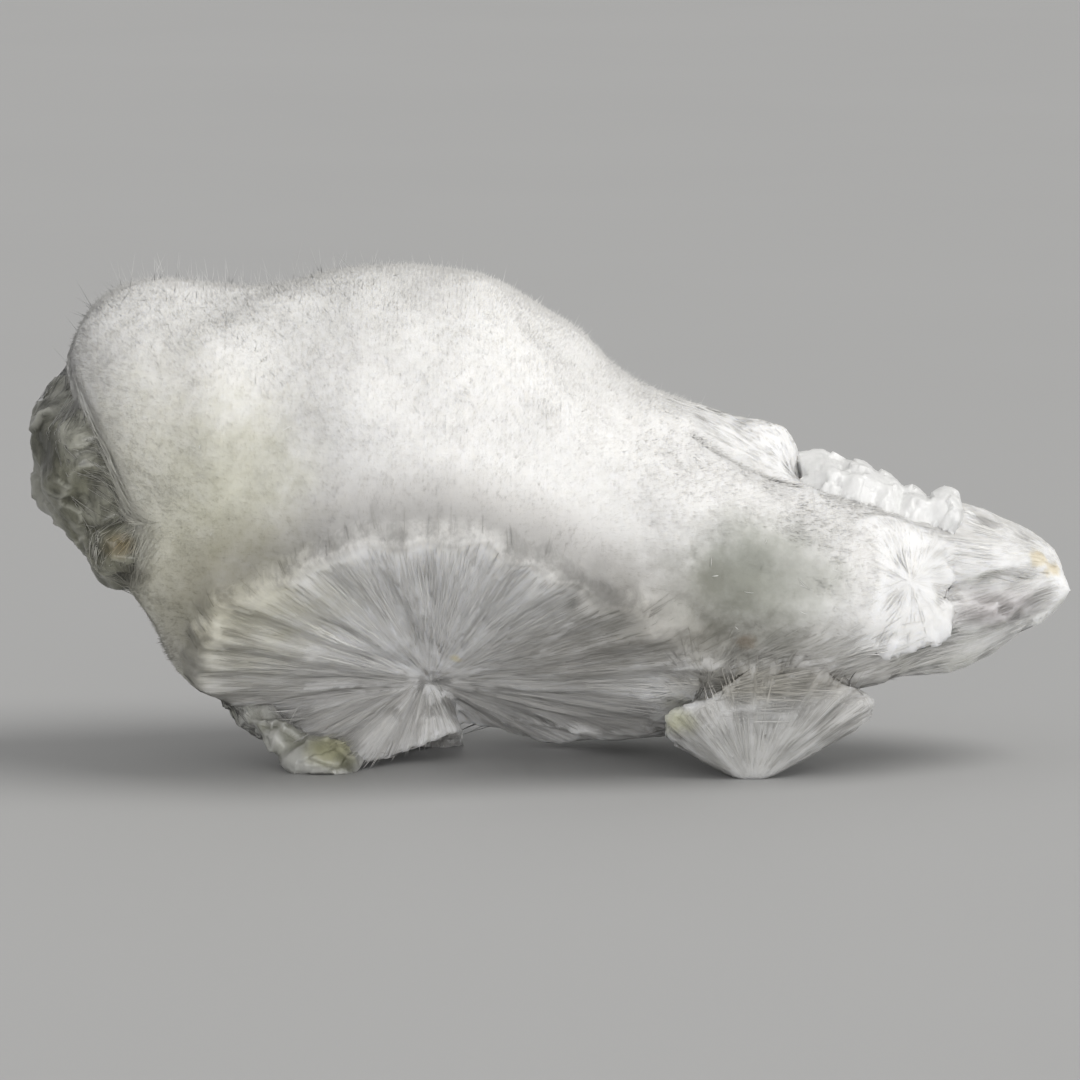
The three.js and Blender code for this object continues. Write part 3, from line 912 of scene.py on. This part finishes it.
@dataclass
class Rind:
    """One scrap of glassy crust."""

    node: str
    voxel: float
    fold: float
    crumb: float
    size: Point
    rounds: int
    sunk: float

    def build(self, bed: Shell) -> Piece:
        """Redraws the scrap with a folded and crumbly surface, bedded on the okenite.

        Args:
            bed: The okenite's own surface.

        Returns:
            The piece, with the notes "edge" (1 along its outer rim and the rims of its blocks),
            "crest" and "veil" (1 next to the okenite).
        """
        shell = redrawn(self.node, self.voxel, self.rounds)
        gap = asked(bed.tree.find_nearest, shell.points, 3)
        p, n = self.bedded(shell.points, bed), shell.normals
        inside, height = cells((p + 0.1 * noise3(p / 0.5, 71)) / self.size, 43)
        folds = 1 - 2.2 * np.abs(noise(p / 1.3, 41))
        push = self.fold * folds + self.crumb * height
        push += 0.07 * noise(p / 0.45, 44) * noise(p / 0.16, 46)
        rim = ramp(gap / np.quantile(gap, 0.98), 0.7, 1.0)
        edge = np.maximum(rim, ramp(height, 0.0, 0.6) * (1 - ramp(inside, 0.05, 0.3)))
        veil = 1 - ramp(gap + 0.6 * noise(p / 0.8, 45), 0.3, 1.4)
        return new_piece(self.node + "_crust", pushed(p, n, push), shell.faces, edge=edge,
                         crest=ramp(folds, 0.75, 1.0), veil=veil)

    def bedded(self, p: Array, bed: Shell) -> Array:
        """Returns the points, with those close to the okenite drawn a little way into it."""
        near = asked(bed.tree.find_nearest, p, 0)
        gap = away(near, p)
        return p + (near - p) * (1.45 * (1 - ramp(gap, 0.4 * self.sunk, self.sunk)))[:, None]


# ---- materials ----


# Painted shade: the dark grey that colours fade to where the paleness falls below zero, which is
# mostly where shade is painted.
DEEP_DULL_AND_SHADE = (0.25, 0.245, 0.235)


class Nodes:
    """A small helper that adds and joins shader nodes."""

    def __init__(self, tree: NodeTree) -> None:
        """Keeps the tree that nodes are added to."""
        self.tree = tree

    def add(self, kind: str, **values: object) -> bpy.types.Node:
        """Adds a node of a kind, such as Math, and fills it."""
        return self.fill(self.tree.nodes.new("ShaderNode" + kind), **values)

    def fill(self, node: bpy.types.Node, **values: object) -> bpy.types.Node:
        """Sets a node's properties, and its sockets, whose names have _ for a space."""
        for key, value in values.items():
            if hasattr(node, key):
                setattr(node, key, value)
            else:
                self.feed(node.inputs[key.replace("_", " ")], value)
        return node

    def feed(self, socket: Socket, value: object) -> None:
        """Joins a socket to another's output, or sets its value."""
        if isinstance(value, Socket):
            self.tree.links.new(value, socket)
        else:
            socket.default_value = (*value, 1) if socket.type == "RGBA" else value

    def join(self, node: bpy.types.Node, values: dict[int, object], out: int = 0) -> Socket:
        """Feeds a node's sockets by their places, and returns one of its outputs."""
        for place, value in values.items():
            self.feed(node.inputs[place], value)
        return node.outputs[out]

    def mix(self, share: object, first: object, second: object, blend: str = "MIX") -> Socket:
        """Returns the first colour with a share of the second laid over it."""
        node = self.add("Mix", data_type="RGBA", blend_type=blend)
        return self.join(node, {0: share, 6: first, 7: second}, 2)

    def sum(self, kind: str, *values: object) -> Socket:
        """Returns the result of a sum of numbers, such as MULTIPLY."""
        return self.join(self.add("Math", operation=kind), dict(enumerate(values)))

    def vector(self, kind: str, *values: object, out: int = 0) -> Socket:
        """Returns the result of a sum of vectors, such as DIVIDE."""
        return self.join(self.add("VectorMath", operation=kind), dict(enumerate(values)), out)

    def both(self, more: Socket, less: Socket) -> Socket:
        """Returns one number and, a little less of it, another."""
        return self.sum("ADD", self.sum("MULTIPLY", more, 0.55), self.sum("MULTIPLY", less, 0.45))

    def step(self, value: object, low: float, high: float) -> Socket:
        """Returns a smooth step of a number, from 0 at low to 1 at high."""
        node = self.add("MapRange", interpolation_type="SMOOTHSTEP")
        return self.join(node, {0: value, 1: low, 2: high})

    def faded_and_shaded(self, dull_and_shade: object, colour: Socket) -> Socket:
        """Returns a colour that turns duller, and then dark grey, where the needles are less pale; as
        the paleness carries the painted shade, this paints that shade as well as the duller streaks.
        """
        pale = self.noted("pale")
        return self.mix(self.step(pale, -0.9, 0.1), DEEP_DULL_AND_SHADE, self.mix(pale, dull_and_shade, colour))

    def stained_and_shaded(self, colour: Socket, stains_and_shade: NodeTree) -> Socket:
        """Returns a colour with the group's tints laid over it, the stone's own and the painted
        shade.
        """
        return self.add("Group", node_tree=stains_and_shade, Color=colour).outputs["Color"]

    def noise(self, spot: object, scale: float, detail: float = 3.0, rough: float = 0.6) -> Socket:
        """Returns cloudy noise of the given scale, around a half."""
        node = self.add("TexNoise", Vector=spot, Scale=scale, Detail=detail, Roughness=rough)
        return node.outputs["Fac"]

    def bump(self, height: Socket, strength: float, distance: float) -> Socket:
        """Returns the normal of a surface raised by a height."""
        node = self.add("Bump", Strength=strength, Distance=distance, Height=height)
        return node.outputs["Normal"]

    def noted(self, name: str, vector: bool = False) -> Socket:
        """Returns a number or a vector that was noted on the piece."""
        return self.add("Attribute", attribute_name=name).outputs["Vector" if vector else "Fac"]


@dataclass(frozen=True)
class StainAndShade:
    """A soft-edged patch of colour in the stone; most are the stone's own tints, and a few are
    painted shade.
    """

    centre: Point
    radii: Point
    colour: Colour
    share: float = 0.9
    broken: float = 0.3


STAINS_AND_SHADE = [StainAndShade(*row) for row in (
    ((-15.0, -4.0, 9.5), (8.5, 8.0, 9.0), (0.93, 0.92, 0.82)),
    ((-12.2, -6.0, 12.3), (4.2, 6.0, 4.2), (0.82, 0.82, 0.76), 0.8, 0.3),
    ((-12.6, -5.0, 7.8), (5.5, 6.0, 4.0), (0.74, 0.73, 0.67)),
    ((8.2, -6.0, 8.2), (4.4, 3.2, 3.5), (0.5, 0.51, 0.47)),
    ((7.4, -6.0, 8.6), (2.2, 3.0, 2.4), (0.72, 0.73, 0.7), 0.9, 0.4),
    # Painted shade, with some of the belly's own grey: the lower front of the belly, which lies in
    # shadow, is painted grey.
    ((4.4, -6.0, 6.9), (5.6, 3.6, 3.4), (0.56, 0.55, 0.52)),
    ((7.8, -5.5, 5.8), (0.6, 0.7, 0.45), (0.76, 0.62, 0.50), 0.6, 0.9),
    # Painted shade: the right of the main fan, under the overhang, is painted darker.
    ((1.0, -3.6, 4.9), (4.2, 4.5, 2.2), (0.72, 0.71, 0.69)),
    ((8.1, -4.4, 1.5), (4.9, 3.8, 3.0), (0.64, 0.64, 0.63), 1.0, 0.1),
    # Painted shade: these two darken the undercut band below the belly.
    ((8.5, -4.6, 3.9), (4.6, 3.0, 1.0), (0.5, 0.48, 0.43)),
    ((8.3, -5.5, 5.6), (5.0, 3.0, 1.8), (0.66, 0.65, 0.62)),
    ((5.0, -4.2, 2.4), (1.2, 2.0, 0.9), (0.82, 0.82, 0.62), 0.9, 0.4),
    # Painted shade: the shaded band under the tail's crease is painted purple-grey.
    ((18.2, -2.4, 6.6), (3.9, 2.4, 1.1), (0.53, 0.505, 0.515), 0.85, 0.4),
    ((19.8, -0.6, 8.45), (0.5, 1.4, 0.4), (0.88, 0.77, 0.55), 0.8, 1.2),
    ((20.6, -0.3, 7.9), (0.6, 1.4, 0.35), (0.88, 0.77, 0.55), 0.8, 1.2),
    ((12.5, -3.0, 4.4), (5.5, 4.0, 1.5), (0.8, 0.79, 0.77)),
    ((-3.7, -1.3, 4.5), (0.35, 0.4, 0.3), (1.0, 0.9, 0.62), 0.9, 0.2),
    ((-17.2, -3.0, 9.35), (0.9, 2.5, 0.7), (0.95, 0.74, 0.42), 0.8, 0.4),
    ((-16.6, -3.0, 8.2), (1.1, 2.5, 0.8), (0.35, 0.34, 0.32), 0.8, 0.8),
    ((-8.7, -3.2, 1.0), (1.3, 1.8, 0.9), (0.92, 0.90, 0.62)),
)]


def stain_and_shade_group() -> NodeTree:
    """Builds the shared group that tints a colour wherever a patch lies, whether the stone's own tint
    or painted shade.
    """
    group = bpy.data.node_groups.new("okenite_stains_and_shade", "ShaderNodeTree")
    group.interface.new_socket("Color", in_out="INPUT", socket_type="NodeSocketColor")
    group.interface.new_socket("Color", in_out="OUTPUT", socket_type="NodeSocketColor")
    nodes = Nodes(group)
    colour = group.nodes.new("NodeGroupInput").outputs["Color"]
    spot = nodes.add("TexCoord").outputs["Object"]
    cloud = nodes.sum("SUBTRACT", nodes.noise(spot, 900.0, 4.0, 0.6), 0.5)
    for tint_patch in STAINS_AND_SHADE:
        gap = nodes.vector("SUBTRACT", spot, [v * MM for v in tint_patch.centre])
        share = nodes.vector("DIVIDE", gap, [v * MM for v in tint_patch.radii])
        length = nodes.vector("LENGTH", share, out=1)
        ragged = nodes.sum("MULTIPLY_ADD", cloud, 2 * tint_patch.broken, length)
        mask = nodes.sum("MULTIPLY", nodes.step(ragged, 1.1, 0.25), tint_patch.share)
        colour = nodes.mix(mask, colour, tint_patch.colour, "MULTIPLY")
    nodes.feed(group.nodes.new("NodeGroupOutput").inputs["Color"], colour)
    return group


@dataclass(frozen=True)
class Finish:
    """A finish, of which each kind gives the look of its own shader."""

    name: str

    def look(self, nodes: Nodes) -> dict[str, object]:
        """Returns the shader's values, by socket."""
        raise NotImplementedError

    def material(self) -> Material:
        """Returns the material."""
        material = bpy.data.materials.new(self.name)
        material.use_nodes = True
        nodes = Nodes(material.node_tree)
        nodes.fill(material.node_tree.nodes["Principled BSDF"], **self.look(nodes))
        return material


@dataclass(frozen=True)
class NeedleWhite(Finish):
    """The white of okenite needles, between a duller colour, which also serves as painted shade, and
    the pale colours at the root and at the tip.
    """

    stains_and_shade: NodeTree
    root: Colour
    tip: Colour
    dull_and_shade: Colour = (0.58, 0.57, 0.555)
    roughness: float = 0.6
    softness: float = 0.9
    tinted: float = 1.0

    def look(self, nodes: Nodes) -> dict[str, object]:
        """Returns the shader's values, by socket."""
        colour = nodes.faded_and_shaded(self.dull_and_shade, nodes.mix(nodes.noted("along"), self.root, self.tip))
        chance = nodes.add("NewGeometry").outputs["Random Per Island"]
        dim = nodes.mix(nodes.step(chance, 0.0, 1.0), (0.93, 0.925, 0.91), (1, 1, 1))
        colour = nodes.mix(1.0, colour, dim, "MULTIPLY")
        colour = nodes.mix(self.tinted, colour, nodes.stained_and_shaded(colour, self.stains_and_shade))
        return dict(Base_Color=colour, Normal=self.normal(nodes), Roughness=self.roughness)

    def normal(self, nodes: Nodes) -> Socket:
        """Returns a normal between the needle's own and that of the ground it stands on."""
        turn = nodes.add("VectorTransform", vector_type="NORMAL",
                         convert_from="OBJECT", convert_to="WORLD")
        ground = nodes.join(turn, {0: nodes.noted("ground", vector=True)})
        own = nodes.add("NewGeometry").outputs["Normal"]
        blend = nodes.add("Mix", data_type="VECTOR")
        blend = nodes.join(blend, {0: self.softness, 4: own, 5: ground}, 1)
        return nodes.vector("NORMALIZE", blend)


@dataclass(frozen=True)
class BodyWhite(Finish):
    """The silky body under the needles."""

    stains_and_shade: NodeTree

    def look(self, nodes: Nodes) -> dict[str, object]:
        """Returns the shader's values, by socket."""
        spot = nodes.add("TexCoord").outputs["Object"]
        grain, velvet = nodes.noted("grain", vector=True), nodes.noted("velvet")
        fine, pile = nodes.noise(grain, 58.0, 4.0, 0.65), nodes.noise(spot, 2600.0, 3.0)
        streaks = nodes.step(nodes.both(nodes.noise(grain, 13.0, 2.0), fine), 0.36, 0.62)
        # The duller colours also carry the painted shade where the paleness is lowered.
        dull_and_shade = nodes.mix(streaks, (0.48, 0.47, 0.455), (0.76, 0.75, 0.73))
        bright = nodes.mix(streaks, (0.93, 0.925, 0.915), (0.98, 0.975, 0.97))
        stood = nodes.mix(nodes.step(pile, 0.3, 0.7), (0.82, 0.815, 0.8), (0.87, 0.865, 0.855))
        dull_and_shade = nodes.mix(velvet, dull_and_shade, (0.6, 0.59, 0.575))
        colour = nodes.faded_and_shaded(dull_and_shade, nodes.mix(velvet, bright, stood))
        skin = nodes.mix(nodes.noise(spot, 1200.0, 4.0), (0.5, 0.5, 0.46), (0.78, 0.78, 0.74))
        colour = nodes.mix(nodes.noted("skin"), colour, skin)
        height = nodes.mix(velvet, fine, pile)
        rough = nodes.sum("MULTIPLY_ADD", nodes.noted("skin"), -0.25, 0.58)
        return dict(Base_Color=nodes.stained_and_shaded(colour, self.stains_and_shade), Roughness=rough,
                    Normal=nodes.bump(height, 0.35, 0.00006), Subsurface_Weight=0.8,
                    Subsurface_Radius=(1.0, 0.97, 0.9), Subsurface_Scale=0.0014)


@dataclass(frozen=True)
class Crust(Finish):
    """The glassy rind, clear in the hollows and frosted along its edges."""

    stains_and_shade: NodeTree
    dark: Colour
    pale: Colour
    edge: Colour
    clear: float

    def look(self, nodes: Nodes) -> dict[str, object]:
        """Returns the shader's values, by socket."""
        spot = nodes.add("TexCoord").outputs["Object"]
        squeezed = nodes.add("Mapping", Vector=spot, Rotation=(0.4, 0.5, 0.3), Scale=(1, 1, 0.35))
        streaks = nodes.noise(squeezed.outputs[0], 2400.0, 5.0, 0.7)
        veins = nodes.both(nodes.noise(spot, 420.0, 5.0, 0.6), streaks)
        colour = nodes.mix(nodes.step(veins, 0.38, 0.64), self.dark, self.pale)
        for name, share in (("crest", 0.5), ("edge", 0.7), ("veil", nodes.step(streaks, 0.1, 0.7))):
            colour = nodes.mix(nodes.sum("MULTIPLY", nodes.noted(name), share), colour, self.edge)
        return dict(Base_Color=nodes.stained_and_shaded(colour, self.stains_and_shade), Roughness=0.32,
                    Normal=nodes.bump(veins, 0.7, 0.0001), Transmission_Weight=self.clear, IOR=1.54,
                    Subsurface_Weight=0.3, Subsurface_Radius=(1, 1, 1), Subsurface_Scale=0.0006)


@dataclass(frozen=True)
class FloorPaint(Finish):
    """The plain pale grey of the floor."""

    def look(self, nodes: Nodes) -> dict[str, object]:
        """Returns the shader's values, by socket."""
        cloud = nodes.noise(nodes.add("TexCoord").outputs["Object"], 14.0)
        tone = nodes.mix(cloud, (0.44, 0.442, 0.445), (0.465, 0.467, 0.47))
        return dict(Base_Color=tone, Roughness=0.6)


# ---- stage ----


@dataclass
class Studio:
    """The floor, the lights and the camera."""

    lens: float = 207.4
    place: Point = (-0.36, -249.5, 43.2)
    pitch: float = 7.79
    floor_half: float = 2000.0

    def build(self) -> None:
        """Sets up the whole studio."""
        bpy.context.scene.view_settings.view_transform = "Standard"
        self.floor()
        self.lights()
        self.camera()

    def floor(self) -> None:
        """Lays a plain pale floor."""
        points = np.array([[-1, -1, 0], [1, -1, 0], [1, 1, 0], [-1, 1, 0]]) * self.floor_half
        floor = new_piece("floor", points, np.array([[0, 1, 2, 3]]))
        floor.data.materials.append(FloorPaint("pale_floor").material())

    def lights(self) -> None:
        """Hangs the lamps and sets the sky."""
        world = bpy.data.worlds.new("studio")
        world.use_nodes = True
        sky = world.node_tree.nodes["Background"]
        Nodes(world.node_tree).fill(sky, Color=(1.0, 0.995, 0.98), Strength=0.46)
        bpy.context.scene.world = world
        key = {"energy": 1.45, "angle": math.radians(40), "color": (1.0, 0.985, 0.955)}
        fill = {"shape": "RECTANGLE", "size": 0.8, "size_y": 0.06, "energy": 1.65}
        for name, kind, values, place, aim in (
            ("key", "SUN", key, (0.0, 0.0, 0.0), (-0.5, 0.12, -0.86)),
            ("fill", "AREA", fill, (0.12, -0.5, 0.04), (-0.12, 0.5, -0.03)),
        ):
            data = bpy.data.lights.new(name, kind)
            for item, value in values.items():
                setattr(data, item, value)
            lamp = placed(name, data)
            lamp.location = place
            lamp.rotation_euler = Vector(aim).to_track_quat("-Z", "Y").to_euler()

    def camera(self) -> None:
        """Places the camera."""
        data = bpy.data.cameras.new("camera")
        data.lens, data.sensor_width = self.lens, 36.0
        data.clip_start, data.clip_end = 0.01, 20.0
        camera = placed("camera", data)
        camera.location = [v * MM for v in self.place]
        camera.rotation_euler = (math.radians(90 - self.pitch), 0.0, 0.0)
        bpy.context.scene.camera = camera


# ---- assembly ----


def settle(piece: Piece, material: Material, node: str = "okenite") -> None:
    """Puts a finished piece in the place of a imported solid, and logs it."""
    piece.data.materials.append(material)
    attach(piece, "root")
    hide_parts(node)
    LOG.info("%s: %d faces", piece.name, len(piece.data.polygons))


LAID = (
    LaidFibres(Zone.MAIN_FAN, 5200, (1.0, 4.6), (0.009, 0.026), slip=0.2),
    LaidFibres(Zone.SIDE_FAN, 1100, (1.0, 3.5), (0.012, 0.03)),
    LaidFibres(Zone.SKIRT, 1300, (0.8, 3.2), (0.01, 0.03)),
    Hem(Zone.SKIRT, 900, (0.5, 1.4), (0.012, 0.024)),
    LaidFibres(Zone.FOOT_FAN, 1200, (0.8, 3.0), (0.012, 0.03)),
    LaidFibres(Zone.ROSETTE, 900, (0.8, 3.0), (0.01, 0.024), lift=0.006, stray=0.06),
    LaidFibres(Zone.CREST, 900, (0.8, 2.6), (0.009, 0.02), lift=0.006),
    LaidFibres(Zone.TAIL, 2600, (1.0, 4.0), (0.009, 0.022), lift=0.006),
)


def build_okenite(stains_and_shade: NodeTree) -> None:
    """Builds the body of needles, and the rind on it."""
    core = Core()
    body = core.body()
    GROWTH.learn(body)
    shell = core.sunk(body)
    settle(core.dress(shell), BodyWhite("okenite_body", stains_and_shade).material())
    root, tip = (0.93, 0.925, 0.91), (0.97, 0.965, 0.955)
    dim = (tuple(0.89 * v for v in shade) for shade in (root, tip))
    stood = NeedleWhite("velvet_needles", stains_and_shade, *dim).material()
    laid = NeedleWhite("laid_needles", stains_and_shade, root, tip, roughness=0.5, softness=0.88).material()
    for piece in Velvet().build(body):
        settle(piece, stood)
    loose = NeedleWhite("loose_needles", stains_and_shade, tip, (1, 1, 1), tinted=0.35).material()
    for needles in (Strays(), Wisps()):
        settle(needles.build(body), loose)
    for fibre in LAID:
        settle(fibre.build(shell), laid)
    build_rind(body, stood, stains_and_shade)


def build_rind(body: Shell, white: Material, stains_and_shade: NodeTree) -> None:
    """Builds the three scraps of rind on the surface that they grew on.

    Args:
        body: The okenite's own surface.
        white: The material of the needles that run over the rind.
        stains_and_shade: The group that tints the stone.
    """
    # Painted shade: the left rind's colours are painted far darker than its grey-green glass, and it
    # lets little light through, so it looks shaded, with a dark ground seen through it.
    dark = "dark_and_shaded_rind", stains_and_shade, (0.045, 0.045, 0.032), (0.25, 0.25, 0.2), (0.5, 0.5, 0.46), 0.25
    sallow = "sallow_rind", stains_and_shade, (0.2, 0.2, 0.15), (0.5, 0.5, 0.43), (0.85, 0.85, 0.82), 0.45
    icy = "icy_rind", stains_and_shade, (0.8, 0.81, 0.8), (0.93, 0.93, 0.925), (0.97, 0.97, 0.965), 0.15
    over_left = Veil(Zone.PUFF, 1800, (1.0, 3.2), (0.01, 0.022), source=(-8.0, -1.0, 12.0), reach=1.2)
    over_foot = Veil(Zone.SKIRT, 1600, (0.8, 2.4), (0.01, 0.024), source=(-4.9, 0.5, 3.4))
    for rind, look, veil in (
        (Rind("left_rind", 0.13, 0.16, 0.14, (1.4, 1.4, 0.9), 3, 1.0), dark, over_left),
        (Rind("foot_rind", 0.08, 0.14, 0.16, (1.1, 1.1, 0.6), 30, 0.7), sallow, over_foot),
        (Rind("ridge_rind", 0.08, 0.04, 0.18, (0.8, 0.9, 1.0), 85, 0.8), icy, None),
    ):
        piece = rind.build(body)
        settle(piece, Crust(*look).material(), rind.node)
        if veil:
            settle(veil.over(body, Shell.of(piece.data, TO_MM)), white)


def main() -> None:
    """Builds the specimen and the studio."""
    logging.basicConfig(level=logging.INFO, format="%(name)s: %(message)s")
    build_okenite(stain_and_shade_group())
    Studio().build()


if __name__ == "__main__":
    main()
